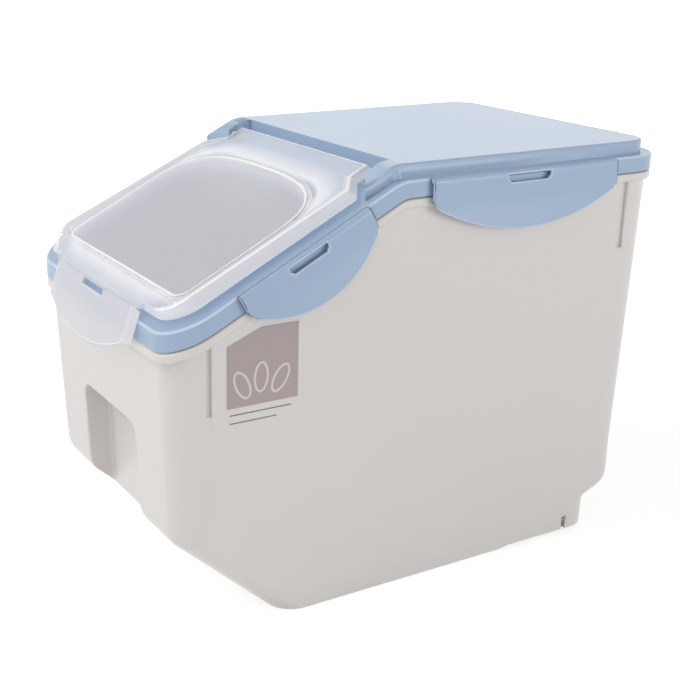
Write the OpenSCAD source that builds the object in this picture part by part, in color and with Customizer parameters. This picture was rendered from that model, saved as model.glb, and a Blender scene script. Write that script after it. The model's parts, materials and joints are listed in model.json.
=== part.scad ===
// Rice bin with a bent, lift-off lid, a see-through flip lid over the pour
// opening, four side latches, a front latch and two rear wheels.
// Front is -Y, up is +Z. Every shape is drawn with y = 0 at the middle of the
// lid flange and moved to the part's origin by to_origin().

/* [Lid] */
// Outer width of the lid flange
lid_w = 212; // [190:1:240]
// Outer length of the lid flange
lid_l = 342; // [320:1:380]
// Plan radius of the flange corners
corner_r = 25; // [20:1:32]
// Height of the flat rear part of the flange above the floor
deck_z = 253.5; // [235:0.5:290]
// Distance from the middle of the lid forward to the bend in the deck
bend_y = 30; // [24:1:36]
// Angle at which the front of the deck slopes down
front_slope = 26.7; // [22:0.1:28]
// Radius of the bend in the deck
bend_r = 28; // [15:1:40]
// Depth of the skirt round the flange, square to the deck
skirt_h = 10; // [8:0.5:11]
// Wall of the lid's deck and raised parts
lid_t = 2.4; // [2:0.1:3]
// Wall of the skirt
skirt_t = 2.6; // [2:0.1:2.7]
// Height of the raised rear panel above the flange
plateau_rise = 8.3; // [6:0.1:12]
// Distance from the flange edge in to the raised rear panel
plateau_inset = 6.9; // [5:0.1:8]

/* [Bin] */
// Wall of the bin
wall = 2.8; // [2:0.1:3.2]
// Distance from the flange edge in to the bin's outer wall
wall_inset = 3; // [2.9:0.1:3.5]
// Draft of the side walls, in degrees
side_draft = 1.38; // [0.5:0.1:2]
// Draft of the rear wall, in degrees
rear_draft = 2.2; // [1:0.1:3]
// Draft of the front wall, in degrees
front_draft = 1.8; // [1:0.1:3]
// Depth of the rim lip below the top of the flange, to its upper face
lip_top = 10.6; // [10.3:0.1:12]
// Depth of the rim lip below the top of the flange, to its lower face
lip_bottom = 16; // [14.5:0.1:18]
// Height of the lower edge of the front wall
chin_z = 57; // [45:1:70]
// Distance from the middle forward to the front edge of the resting face
chin_y = 102.5; // [85:1:110]
// Width of the grip pocket in the front wall
grip_w = 80; // [60:1:100]
// Depth of the grip pocket
grip_depth = 16.5; // [12:0.5:22]
// Height of the top of the grip pocket
grip_top = 114; // [100:1:125]
// Width of the upright grooves in front
front_groove_w = 3; // [2:0.5:6]
// Width of the upright grooves at the rear
rear_groove_w = 5; // [3:0.5:7]
// Depth of the upright grooves
groove_depth = 1.9; // [0.6:0.1:1.9]

/* [Wheels] */
// Diameter of the wheels
wheel_d = 19; // [16:0.5:22]
// Width of the wheels
wheel_w = 12; // [8:0.5:16]
// Diameter of the axle pins
axle_d = 4; // [3:0.1:5]
// Distance from the middle back to the axle
axle_y = 114.5; // [110:0.5:118]

/* [Flip lid] */
// Height of the flip lid's top face above the deck
flip_h = 7; // [6.5:0.1:9]
// Wall of the flip lid
flip_t = 2.2; // [1.8:0.1:2.6]
// Height of the flip lid's lower edge above the deck
flip_edge_h = 3.4; // [2:0.1:3.6]
// Half of the width of the flip lid's top face
flip_top_half = 89.5; // [86:0.5:92]
// Half of the width of the flip lid at its lower edge
flip_edge_half = 98; // [94:0.5:100]
// Half of the width of the narrow hinge tail
tail_half = 82.5; // [78:0.5:84]
// Half of the width of the window
window_half = 84; // [78:0.5:86]
// Height of the raised window panel above the flip lid's top face
window_rise = 1.2; // [0.6:0.1:2]
// Diameter of the flip lid's hinge pins
hinge_pin_d = 4; // [3:0.1:4.4]

/* [Latches] */
// Length of each rear side latch
rear_latch_l = 137; // [110:1:150]
// Length of each front side latch
front_latch_l = 89; // [70:1:95]
// Depth of the rear side latches at their middle
rear_latch_h = 34; // [28:1:40]
// Depth of the front side latches at their middle
front_latch_h = 31; // [26:1:36]
// Wall of the side latches
latch_t = 2.2; // [1.8:0.1:2.8]
// Distance that a side latch stands out from the flange edge
latch_reach = 3.8; // [3.4:0.1:5]
// Distance that the lower part of a side latch flares out
latch_flare = 1.8; // [0:0.1:3]
// Width of the front latch
flap_w = 126; // [100:1:130]
// Length of the front latch down its middle
flap_l = 34.5; // [28:0.5:40]
// Angle at which the front latch leans out from upright
flap_lean = 20; // [15:1:25]

/* [Seals] */
// Width of the lid gasket
gasket_w = 3.1; // [2:0.1:3.4]
// Width of the flip lid gasket
flip_gasket_w = 5; // [3:0.1:6]

/* [Label] */
// Width of the label
label_w = 43.5; // [30:0.5:60]
// Height of the label
label_h = 44; // [30:0.5:60]
// Distance from the front of the lid back to the label
label_inset = 34; // [30:0.5:60]
// Distance from the flat rear part of the flange down to the label
label_drop = 71.5; // [65:0.5:90]

/* [Hidden] */
$fn = 64;
fit_gap = 0.3;       // running gap between pieces on different bodies
seal_gap = 0.2;      // gap between a seal and the face that it meets
eps = 0.5;           // overrun of a cut past the face that it opens
far = 400;           // reach of cuts that run right out of the part
blue = "#a9c3dd";
white = "#dcdad6";
clear = "#dfe3ec";

// ---- the bent deck ----------------------------------------------------

// Points of the deck line at a height off above it, from y0 back to y1.
// knee is where the line bends, top its height and r its radius.
function bent_line(off, y0, y1, knee = -bend_y, top = deck_z, r = bend_r) =
    let (yc = knee + r * tan(front_slope / 2), zc = top - r,
        ey = yc - (r + off) * sin(front_slope),
        ez = zc + (r + off) * cos(front_slope))
    concat([[y0, ez - (ey - y0) * tan(front_slope)]],
        [for (i = [0:6]) let (a = front_slope * (1 - i / 6))
            [yc - (r + off) * sin(a), zc + (r + off) * cos(a)]],
        [[y1, top + off]]);

function reversed(p) = [for (i = [len(p) - 1:-1:0]) p[i]];

// Place of the point s down the slope and h above it, as [y, z]
function on_slope(s, h) = [
    -bend_y - s * cos(front_slope) - h * sin(front_slope),
    deck_z - s * sin(front_slope) + h * cos(front_slope)];

// Deck height at y on the slope
function slope_z(y) = deck_z + (y + bend_y) * tan(front_slope);

flap_axis_s = (lid_l / 2 - bend_y + 0.8 - flip_h * sin(front_slope)) / cos(front_slope);
flap_axis = on_slope(flap_axis_s, flip_h);
flap_low = 1.5;                                 // bevel under the front latch
flap_front = flap_axis[0] - (flap_l - flap_low) * sin(flap_lean);
origin_shift = -(flap_front + lid_l / 2) / 2;

module to_origin() {
    translate([0, origin_shift, 0]) children();
}

// Local frame on the slope: -Y runs down it, +Z is square to it
module slope_frame() {
    translate([0, -bend_y, deck_z]) rotate([front_slope, 0, 0]) children();
}

module along_x(w) {
    rotate([90, 0, 90]) linear_extrude(w, center = true) children();
}

module rounded_rect(w, l, r) {
    square([w - 2 * r, l], center = true);
    square([w, l - 2 * r], center = true);
    for (sx = [-1, 1], sy = [-1, 1])
        translate([sx * (w / 2 - r), sy * (l / 2 - r)]) circle(r);
}

// Upright prism of the lid's plan, drawn in from the flange edge by inset
module lid_prism(inset) {
    translate([0, 0, -eps]) linear_extrude(deck_z + plateau_rise + 2 * eps)
        rounded_rect(lid_w - 2 * inset, lid_l - 2 * inset, max(corner_r - inset, 2));
}

// Bent slab between two heights square to the deck
module deck_band(low, high) {
    reach = lid_l / 2 + 5;
    along_x(lid_w + 10) polygon(concat(
        bent_line(high, -reach, reach), reversed(bent_line(low, -reach, reach))));
}

module lid_ring(low, high, outer_inset, inner_inset) {
    difference() {
        intersection() {
            deck_band(low, high);
            lid_prism(outer_inset);
        }
        lid_prism(inner_inset);
    }
}

// ---- the bin ------------------------------------------------------------

rim_depth = 5.2;                                // bin rim below the flange top
side_ref_z = deck_z - lip_bottom + 2;           // height where the drafts start
front_ref_z = slope_z(-lid_l / 2) - lip_bottom / cos(front_slope) - 1.5;
corner_steps = 12;                              // flats in each corner of the tub
hull_top = deck_z + 8;
foot_tighten = 5;                               // how much tighter the corners get at the floor
chin_r = 12;                                    // rounding under the front wall
foot_y = axle_y + wheel_d / 2 + 14;             // rear face of the rear foot
foot_z = 21.8;                                  // top of that face
foot_lean = 1.5;                                // how far it leans back over its height
foot_bend = 5;                                  // run of the rounding there
heel_z = 29.8;                                  // where the rear wall starts
heel_bend = 6.5;                                // run of the rounding there
rest_end = 58;                                  // rear end of the resting face
foot_lift = 2;                                  // clearance under the rear foot
foot_round = 6;                                 // rounding of its lower rear edge
grip_corner = 8;
base_recess = 2.4;                              // hollow inside the resting ring
base_ring = 9;

// Outer faces at a height z: drafted below the rim lip, upright above it
function half_w(z) = lid_w / 2 - wall_inset - max(side_ref_z - z, 0) * tan(side_draft);
function rear_y(z) = lid_l / 2 - wall_inset - max(side_ref_z - z, 0) * tan(rear_draft);
function front_y(z) = -lid_l / 2 + wall_inset + max(front_ref_z - z, 0) * tan(front_draft);

// Points of a soft bend at c, that starts and ends at run from it, between a and b
function soft_bend(a, c, b, run) =
    let (from = c + run * (a - c) / norm(a - c), to = c + run * (b - c) / norm(b - c))
    [for (i = [0:6]) let (t = i / 6) (1 - t) * (1 - t) * from + 2 * t * (1 - t) * c + t * t * to];

// Rear face where the foot steps in under the wall, as [z, y] from the floor up
back_line = let (foot = [foot_z, foot_y + foot_lean], heel = [heel_z, rear_y(heel_z)])
    concat([[0, foot_y]], soft_bend([0, foot_y], foot, heel, foot_bend),
        soft_bend(foot, heel, [heel_z + 20, rear_y(heel_z + 20)], heel_bend));

// Rear face at a height z
function back_y(z) = z > heel_z + heel_bend ? rear_y(z) : lookup(z, back_line);

// Plan radius of the tub's corners at a height z, tighter near the floor
function tub_r(z) = corner_r - wall_inset - foot_tighten * max(1 - z / chin_z, 0);

// One level ring of the tub at height z: front face at y0, drawn in by inset
function tub_ring(z, y0, inset) =
    let (r = tub_r(z) - inset, x = half_w(z) - inset - r,
        ys = [back_y(z) - inset - r, y0 + inset + r])
    [for (k = [0:3], i = [0:corner_steps]) let (a = 90 * (k + i / corner_steps))
        [(k == 0 || k == 3 ? x : -x) + r * cos(a), ys[k < 2 ? 0 : 1] + r * sin(a), z]];

// Solid through level rings of equal length, listed from the bottom up
module loft(rings) {
    n = len(rings[0]);
    top = (len(rings) - 1) * n;
    polyhedron([for (ring = rings) each ring], concat(
        [[for (i = [0:n - 1]) i], [for (i = [n - 1:-1:0]) top + i]],
        [for (j = [0:n:top - n], i = [0:n - 1])
            [j + i, j + n + i, j + n + (i + 1) % n, j + (i + 1) % n]]));
}

// Tub body with its sloping chin, from floor_z up, drawn in by inset
module tub_body(floor_z, inset) {
    chin_angle = atan2(chin_z, -front_y(chin_z) - chin_y);
    run = chin_r * tan(chin_angle / 2);
    low_y = front_y(chin_z) + run * cos(chin_angle);
    low_z = chin_z - run * sin(chin_angle);
    levels = [for (p = back_line) if (p[0] > floor_z + 1 && p[0] < low_z - 0.5) p[0]];
    loft([for (z = concat([floor_z], levels, [low_z]))
            tub_ring(z, low_y + (low_z - z) / tan(chin_angle), inset),
        tub_ring(chin_z, front_y(chin_z) + run * 0.3, inset),
        for (z = [chin_z + run, front_ref_z, side_ref_z, hull_top])
            tub_ring(z, front_y(z), inset)]);
}

// Where the underside lifts off the floor behind the resting face
module rear_undercut() {
    along_x(far) polygon([[rest_end, -eps], [rest_end, 0], [rest_end + 9, foot_lift],
        [foot_y - foot_round, foot_lift], [foot_y - foot_round / 4, foot_lift + foot_round / 3],
        [foot_y + eps, foot_lift + foot_round], [far / 2, foot_lift + foot_round],
        [far / 2, -eps]]);
}

bay_side = 0.8;                                 // room beside a wheel
bay_front = axle_y - wheel_d / 2 - 4;
bay_back = axle_y + wheel_d / 2 + 1.2;
axle_z = wheel_d / 2 + 0.1;
bay_top = axle_z + wheel_d / 2 + 2.5;
bay_out = half_w(0) - wall;                     // outer side of a wheel bay
wheel_x = bay_out - bay_side - wheel_w / 2;
bay_in = wheel_x - wheel_w / 2 - bay_side;      // inner side of a wheel bay
socket = 2.6;                                   // depth of the axle pin's inner seat

// Hollows in the underside that hold the wheels, open downwards
module wheel_bays() {
    for (side = [0, 1]) mirror([side, 0, 0])
        translate([bay_in, bay_front, -eps])
            cube([bay_out - bay_in, bay_back - bay_front, bay_top + eps]);
}

// Slots that the axle pins snap up into, open downwards
module axle_slots() {
    seat_w = axle_d + 0.8;
    seat_neck = axle_d - 0.8;                   // the slot that a pin snaps through
    for (side = [0, 1]) mirror([side, 0, 0])
        translate([bay_in - socket, axle_y, 0]) rotate([90, 0, 90])
            linear_extrude(half_w(0) - bay_in + socket + 4) {
                translate([0, axle_z]) circle(d = seat_w);
                translate([-seat_neck / 2, -eps]) square([seat_neck, axle_z + eps]);
            }
}

// What the cavity leaves solid: the rear foot, and the boxes over the wheel bays
module rear_floor() {
    along_x(far) polygon([[rest_end, -eps], [rest_end, base_recess + wall],
        [rest_end + 9, foot_lift + wall], [foot_y - foot_round - 1, foot_lift + wall],
        [foot_y - wall, foot_lift + foot_round + wall],
        [foot_y + foot_lean - wall, foot_z + 0.65 * wall],
        [rear_y(heel_z) - wall - 3, heel_z + 0.2 * wall],
        [rear_y(heel_z) - wall + 1, heel_z + 2 * wall],
        [far / 2, heel_z + 2 * wall], [far / 2, -eps]]);
    for (side = [0, 1]) mirror([side, 0, 0])
        translate([bay_in - socket - wall, bay_front - wall, -eps])
            cube([far / 4, far / 4, bay_top + wall + eps]);
}

module grip_pocket(grow) {
    y0 = front_y(grip_top) + grip_depth + grow;
    w = grip_w / 2 + grow;
    translate([0, y0, 0]) rotate([90, 0, 0]) linear_extrude(far / 4) {
        translate([-w, -eps]) square([2 * w, grip_top + grow - grip_corner + eps]);
        translate([-w + grip_corner, 0]) square([2 * (w - grip_corner), grip_top + grow]);
        for (sx = [-1, 1])
            translate([sx * (w - grip_corner), grip_top + grow - grip_corner])
                circle(grip_corner);
    }
}

// Upright groove in a side wall, from the lip down to low_z, ramped at its foot
module groove(side, y, low_z, width) {
    depth = min(groove_depth, wall - 0.8);
    translate([side * half_w(low_z), y, low_z]) rotate([0, side * side_draft, 0])
        rotate([90, 0, 0]) linear_extrude(width, center = true)
            polygon([[side * 3, 0], [-side * depth, 2], [-side * depth, far / 4],
                [side * 3, far / 4]]);
}

module bin_tub() {
    front_groove_y = -lid_l / 2 + 23.5;
    front_groove_z = deck_z - label_drop - label_h - 4;     // foot of each groove
    rear_groove_y = lid_l / 2 - 32;
    rear_groove_z = deck_z - 60;
    color(white) to_origin() {
        difference() {
            intersection() {
                difference() {
                    tub_body(0, 0);
                    rear_undercut();
                }
                deck_band(-far, -rim_depth);
            }
            // cavity
            difference() {
                tub_body(base_recess + wall, wall);
                rear_floor();
                grip_pocket(wall);
            }
            grip_pocket(0);
            wheel_bays();
            axle_slots();
            translate([0, (rest_end - chin_y) / 2, -eps]) linear_extrude(base_recess + eps)
                rounded_rect(2 * (half_w(0) - base_ring), rest_end + chin_y - 2 * base_ring, 14);
            intersection() {
                union() for (side = [-1, 1]) {
                    groove(side, front_groove_y, front_groove_z, front_groove_w);
                    groove(side, rear_groove_y, rear_groove_z, rear_groove_w);
                }
                deck_band(-far, -lip_bottom);
            }
        }
        lid_ring(-lip_bottom, -lip_top, 0, wall_inset + 1);
    }
}

label_gap = 10;                                 // between the rim lip and the label

// Label on the right wall, its top cut to follow the rim
module label_panel() {
    y0 = -lid_l / 2 + label_inset;
    y1 = y0 + label_w;
    bend = y0 + 0.48 * label_w;                 // where its top turns level
    z1 = deck_z - label_drop;
    z0 = z1 - label_h;
    label_t = 0.3;
    top = [for (y = [y0, bend, y1]) min(slope_z(y) - lip_bottom - label_gap, z1) - z0];
    color("#a39796") to_origin()
        translate([half_w(z0) + 0.05, 0, z0]) rotate([0, side_draft, 0])
            rotate([90, 0, 90]) linear_extrude(label_t)
                polygon([[y0, 0], [y1, 0], [y1, top[2]], [bend, top[1]], [y0, top[0]]]);
}

// ---- the wheels -----------------------------------------------------------

module wheel(side) {
    groove = 1.2;
    tread = wheel_d / 2;
    half = wheel_w / 2;
    color("#8f9296") to_origin() translate([side * wheel_x, axle_y, axle_z])
        rotate([0, 90, 0]) rotate_extrude()
            polygon([[axle_d / 2 + fit_gap, -half], [tread - 3.4, -half],
                [tread - 3.4, -half + groove], [tread - 2, -half + groove], [tread - 2, -half],
                [tread - 1, -half], [tread, -half + 1], [tread, half - 1], [tread - 1, half],
                [tread - 2, half], [tread - 2, half - groove], [tread - 3.4, half - groove],
                [tread - 3.4, half], [axle_d / 2 + fit_gap, half]]);
}

module wheel_left() wheel(-1);
module wheel_right() wheel(1);

// Tube-ended pin across a wheel bay, from its blind seat to the wall's outer face
module axle_pin(side) {
    inner = bay_in - socket + 0.2;
    outer = half_w(axle_z) - 0.3;
    color("#c9c8c6") to_origin() translate([side * (inner + outer) / 2, axle_y, axle_z + 0.2])
        rotate([0, 90, 0]) difference() {
            cylinder(d = axle_d, h = outer - inner, center = true);
            translate([0, 0, side * (outer - inner) / 2])
                cylinder(d = axle_d / 2, h = 5, center = true);
        }
}

module axle_pin_left() axle_pin(-1);
module axle_pin_right() axle_pin(1);

// ---- the lid ----------------------------------------------------------------

notch_half = tail_half + 2;                     // half width between the shoulders
notch_y = -25;                                  // front face of the raised panel
shoulder_in_y = -41.5;                          // shoulder end at its inner side
shoulder_out_y = -50.5;                         // shoulder end at its outer side
shoulder_bend = 30;
shoulder_r = 20;
flip_axis_s = 7;                                // flip lid hinge, down the slope
flip_axis_h = 3.2;                              // and above it
flip_axis = on_slope(flip_axis_s, flip_axis_h);
tail_s = 2.4;                                   // rear edge of the flip lid
trough_r = norm([flip_axis_s - tail_s, flip_h - flip_axis_h]) + fit_gap;
body_front_s = flap_axis_s - 3.6;               // front edge of the flip lid's body
window_front_s = body_front_s - 13.6;
window_rear_s = 30;
window_corner = 9;
arch_depth = 45;                                // depth of the window's rear arch
arch_s = window_rear_s + arch_depth;
rim_w = 7;                                      // pour rim outside the opening
rim_h = 2;
opening_inset = 4;                              // opening inside the window's outline
catch_z = slope_z(-lid_l / 2) - 6;              // catch rib on the front of the skirt
catch_h = 2;
catch_d = 1.4;
catch_w = 40;

// Window outline grown by grow: an arched rear, straight sides, rounded front corners
module window_shape(grow) {
    half = window_half + grow;
    r = window_corner + grow;
    corner_y = -window_front_s - grow + r;
    polygon(concat(
        [for (i = [-24:24]) let (a = i * 90 / 24)
            [half * sign(i) * pow(abs(sin(a)), 2 / 3),
                -arch_s + (arch_depth + grow) * pow(max(cos(a), 0), 2 / 3)]],
        [for (a = [0:-15:-90]) [half - r + r * cos(a), corner_y + r * sin(a)]],
        [for (a = [-90:-15:-180]) [-half + r + r * cos(a), corner_y + r * sin(a)]]));
}

// Plan of the raised rear panel and its two shoulders, drawn in by t
module plateau_plan(t) {
    x = lid_w / 2 - plateau_inset;
    intersection() {
        rounded_rect(lid_w - 2 * plateau_inset - 2 * t, lid_l - 2 * plateau_inset - 2 * t,
            corner_r - plateau_inset - t);
        polygon([[-x, shoulder_out_y + t], [-notch_half - t, shoulder_in_y + t],
            [-notch_half - t, notch_y + t], [notch_half + t, notch_y + t],
            [notch_half + t, shoulder_in_y + t], [x, shoulder_out_y + t], [x, far], [-x, far]]);
    }
}

// Raised rear panel, drawn in by t all round and on top, reaching depth below the deck
module plateau(t, depth) {
    reach = lid_l / 2 + 5;
    intersection() {
        linear_extrude(far) plateau_plan(t);
        along_x(lid_w) polygon(concat(
            bent_line(-t, -reach, reach, -shoulder_bend, deck_z + plateau_rise, shoulder_r),
            reversed(bent_line(-depth, -reach, reach))));
    }
}

recess_depth = latch_t + 1.2;                   // edge recess that a latch's root sits in
latch_axis_in = 0.7;                            // latch axis inside the flange edge
latch_axis_h = -0.5;                            // and above the flange top
rear_latch_y = lid_l / 2 - 114;                 // middle of the rear side latches
front_latch_s = flap_axis_s - 84.7;             // middle of the front side latches

// Recess in the flange edge where a side latch is rooted
module latch_recess(length) {
    rotate([90, 0, 0]) linear_extrude(length + 2 * fit_gap, center = true)
        polygon([[lid_w / 2 - 1.6, eps], [lid_w / 2 - 1.4, 0],
            [lid_w / 2 - latch_axis_in - 0.2, latch_axis_h - 0.3],
            [lid_w / 2 - latch_axis_in - 0.2, -recess_depth],
            [lid_w, -recess_depth], [lid_w, eps]]);
}

module at_latch(front) {
    if (front) slope_frame() translate([0, -front_latch_s, 0]) children();
    else translate([0, rear_latch_y, deck_z]) children();
}

module lid_shell() {
    color(blue) to_origin() difference() {
        union() {
            difference() {
                union() {
                    intersection() {
                        deck_band(-skirt_h, 0);
                        lid_prism(0);
                    }
                    plateau(0, lid_t);
                }
                intersection() {
                    deck_band(-far, -lid_t);
                    lid_prism(skirt_t);
                }
                plateau(lid_t, lid_t + eps);
            }
            // locating rib that hangs inside the bin's mouth
            lid_ring(-12, -lid_t + 0.01, wall_inset + wall + 0.8 + gasket_w / 2, 10);
            // trough under the flip lid's hinge
            intersection() {
                translate([0, flip_axis[0], flip_axis[1]])
                    along_x(2 * notch_half) circle(trough_r + lid_t);
                deck_band(-far, -lid_t / 2);
            }
            // pour rim round the opening
            slope_frame() translate([0, 0, -lid_t]) linear_extrude(rim_h + lid_t)
                window_shape(rim_w - opening_inset);
            // catch rib for the front latch
            translate([0, -lid_l / 2 - catch_d / 2 + 0.5, catch_z])
                cube([catch_w, catch_d + 1, catch_h], center = true);
        }
        slope_frame() translate([0, 0, -far / 4]) linear_extrude(far / 2)
            window_shape(-opening_inset);
        translate([0, flip_axis[0], flip_axis[1]]) {
            along_x(2 * notch_half) circle(trough_r);
            along_x(2 * notch_half + 8) circle(d = hinge_pin_d + 0.4);
        }
        for (side = [0, 1]) mirror([side, 0, 0]) {
            at_latch(true) latch_recess(front_latch_l);
            at_latch(false) latch_recess(rear_latch_l);
        }
    }
}

module lid_gasket() {
    color("#ececea") to_origin()
        lid_ring(-rim_depth + seal_gap, -lid_t, wall_inset + 1, wall_inset + 1 + gasket_w);
}

// ---- the side latches -----------------------------------------------------------

// A latch hangs from its root line; a ridge inside it sits under the rim lip
module latch(length, depth, slot_w, end_depth) {
    x0 = lid_w / 2 - latch_axis_in;
    face = lid_w / 2 + latch_reach;
    sag = depth - end_depth;
    arc_r = (pow(length / 2, 2) + sag * sag) / (2 * sag);
    slot_low = 6.5;
    crease = -0.52 * depth;                     // height where the flare starts
    in = face + 0.3 - latch_t;
    intersection() {
        difference() {
            rotate([90, 0, 0]) linear_extrude(length, center = true)
                polygon([[x0, latch_axis_h], [x0 + 0.4, 0], [face - 1.4, 0],
                    [face - 0.4, -0.5], [face, -1.6], [face + 0.3, crease],
                    [face + 0.3 + latch_flare, -depth], [in + latch_flare, -depth],
                    [in, crease], [face - latch_t, -latch_t - 0.8],
                    [face - latch_t - 0.8, -latch_t], [x0 + 0.6, -latch_t],
                    [x0, latch_axis_h - 0.6]]);
            // moulding slot above the ridge
            translate([x0 + 1.8, 0, 0]) rotate([90, 0, 90]) linear_extrude(20)
                polygon([[-slot_w / 2, -1.8], [slot_w / 2, -1.8], [slot_w / 2, -5],
                    [slot_w / 2 - 3, -slot_low], [-slot_w / 2 + 3, -slot_low],
                    [-slot_w / 2, -5]]);
        }
        // curved lower edge
        rotate([90, 0, 90]) linear_extrude(lid_w) intersection() {
            translate([0, -depth + arc_r]) circle(arc_r, $fn = 160);
            translate([-length / 2, -depth - 1]) square([length, depth + 2]);
        }
    }
    // ridge under the lip, clear of it by the running gap
    translate([0, 0, -lip_bottom - fit_gap]) rotate([90, 0, 0])
        linear_extrude(slot_w, center = true)
            polygon([[lid_w / 2 + fit_gap, -0.2], [face - latch_t + 0.6, 0.6],
                [face - latch_t + 0.6, -3], [lid_w / 2 + fit_gap, -1.6]]);
}

module latch_at(side, front) {
    color(blue) to_origin() mirror([side < 0 ? 1 : 0, 0, 0]) at_latch(front)
        if (front) latch(front_latch_l, front_latch_h, 26, 13);
        else latch(rear_latch_l, rear_latch_h, 31.5, 16);
}

module latch_front_left() latch_at(-1, true);
module latch_front_right() latch_at(1, true);
module latch_rear_left() latch_at(-1, false);
module latch_rear_right() latch_at(1, false);

// ---- the flip lid -------------------------------------------------------------------

flare_s = 15;                                   // where the tail starts to widen
tail_top_half = tail_half - 6;                  // half width of the tail's top face
flare_run = 11;                                 // length of the widening

// Outline of the wide part of the flip lid at one height, rear flare to front
module flip_outline(half, tail, s0, s1, r) {
    polygon([[-tail, -s0], [tail, -s0], [half, -s0 - flare_run], [half, -s1 + r],
        [half - r, -s1 + r], [-half + r, -s1 + r], [-half, -s1 + r],
        [-half, -s0 - flare_run]]);
    translate([-half + r, -s1]) square([2 * (half - r), 2 * r]);
    for (sx = [-1, 1]) translate([sx * (half - r), -s1 + r]) circle(r, $fn = 48);
}

// Wide part of the flip lid as a solid with sloping sides, drawn in by t
module flip_body(t, low) {
    hull() {
        translate([0, 0, flip_h - t - 0.01]) linear_extrude(0.01)
            flip_outline(flip_top_half - t, tail_top_half - t, flare_s + t,
                body_front_s - 2 - t, 17 - t);
        translate([0, 0, low]) linear_extrude(0.01)
            flip_outline(flip_edge_half - t, tail_half - t, flare_s + 0.5 + t,
                body_front_s - t, 20 - t);
    }
}

// Cross-section of the hinge tail, drawn in by t
module tail_section(t, low) {
    polygon([[-tail_half + t, low], [-tail_half + t, flip_edge_h], [-tail_top_half + t, flip_h - t],
        [tail_top_half - t, flip_h - t], [tail_half - t, flip_edge_h], [tail_half - t, low]]);
}

// The hinge tail's section drawn out down the slope, from s0 to s1
module tail_run(s0, s1) {
    translate([0, -s0, 0]) rotate([90, 0, 0]) linear_extrude(s1 - s0) children();
}

module flip_lid() {
    ear_w = 8;
    ear_low = 1;
    tongue_h = 2.4;
    pin_l = 3.2;
    color(clear, 0.55) to_origin() {
        slope_frame() {
            difference() {
                union() {
                    flip_body(0, flip_edge_h);
                    tail_run(tail_s, flare_s + 1) tail_section(0, flip_edge_h);
                    // tongue that carries the front latch
                    translate([0, -flap_axis_s + fit_gap, flip_h - tongue_h])
                        rotate([90, 0, 90]) linear_extrude(flap_w, center = true)
                            polygon([[0, tongue_h], [-0.1, tongue_h - 0.3], [2.6, 0], [12, 0],
                                [12, tongue_h]]);
                    translate([0, 0, flip_h - eps]) linear_extrude(window_rise + eps)
                        window_shape(0);
                }
                flip_body(flip_t, flip_edge_h - eps);
                tail_run(tail_s - eps, flare_s + flip_t + 2) tail_section(flip_t, -1);
                translate([0, 0, flip_h - flip_t - eps]) linear_extrude(window_rise + eps)
                    window_shape(-flip_t);
            }
            // ears at the two ends of the tail
            intersection() {
                tail_run(tail_s, flare_s - 2) tail_section(0, ear_low);
                for (side = [-1, 1]) translate([side * (tail_half - ear_w / 2), 0, 0])
                    cube([ear_w, far, far], center = true);
            }
        }
        for (side = [-1, 1])
            translate([side * (tail_half - 1 + pin_l / 2), flip_axis[0], flip_axis[1]])
                along_x(pin_l + 2) circle(d = hinge_pin_d);
    }
}

module flip_gasket() {
    outer = rim_w - opening_inset;
    color("#f2f2f2") to_origin() slope_frame() translate([0, 0, rim_h + seal_gap])
        linear_extrude(flip_h - flip_t - rim_h - seal_gap) difference() {
            window_shape(outer - 0.5);
            window_shape(outer - 0.5 - flip_gasket_w);
        }
}

// ---- the front latch --------------------------------------------------------------

slot_w = 31.5;                                  // moulding slot at the root
slot_h = 4;

// Place of the front latch's front face at a height z
function flap_face_y(z) = flap_axis[0] - (flap_axis[1] - z) * tan(flap_lean);

flap_side = 20;                                 // straight part of its sides

// Outline of the front latch, drawn in by side_in at its sides and low_in below
module flap_outline(side_in, low_in) {
    sag = flap_l - flap_side;
    arc_r = (pow(flap_w / 2, 2) + sag * sag) / (2 * sag);
    half = flap_w / 2 - side_in;
    intersection() {
        translate([-half, -flap_l]) square([2 * half, flap_l]);
        translate([0, -flap_l + arc_r + low_in]) circle(arc_r, $fn = 120);
    }
}

// Front latch as a solid whose sides slope back, drawn in by t
module flap_body(t, depth) {
    bevel_w = 6;
    hull() {
        translate([0, t + 0.01, 0]) rotate([90, 0, 0]) linear_extrude(0.01)
            flap_outline(bevel_w + t / 2, flap_low + t);
        translate([0, depth, 0]) rotate([90, 0, 0]) linear_extrude(0.01)
            flap_outline(t, t);
    }
}

module flip_latch() {
    flap_t = 2;
    rim_d = 3;                                  // depth of the rim turned in behind
    hook_w = catch_w - 12;
    slot_top = 1;                               // web left above the moulding slot
    hook_play = 3.4;                            // drop of the hook below the catch rib
    hook_y = -lid_l / 2 - fit_gap;
    hook_z = catch_z - catch_h / 2 - hook_play;
    color(clear, 0.55) to_origin() {
        translate([0, flap_axis[0], flap_axis[1]]) rotate([-flap_lean, 0, 0]) difference() {
            flap_body(0, rim_d);
            flap_body(flap_t, rim_d + eps);
            // root bevel, which leaves the line of the hinge at the front face
            along_x(flap_w + 2)
                polygon([[-eps, eps], [0.1, 0], [rim_d + 1, -1.6], [rim_d + 1, eps]]);
            // moulding slot at the root
            translate([-slot_w / 2, -eps, -slot_top - slot_h])
                cube([slot_w, 2 * eps + flap_t, slot_h]);
        }
        // hook that reaches in below the catch rib
        along_x(hook_w) polygon([[hook_y, hook_z - 1], [hook_y - 0.8, hook_z],
            [flap_face_y(hook_z) + flap_t / 2, hook_z - 1.2],
            [flap_face_y(hook_z - 4) + flap_t / 2, hook_z - 4],
            [hook_y, hook_z - 2.4]]);
    }
}

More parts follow.
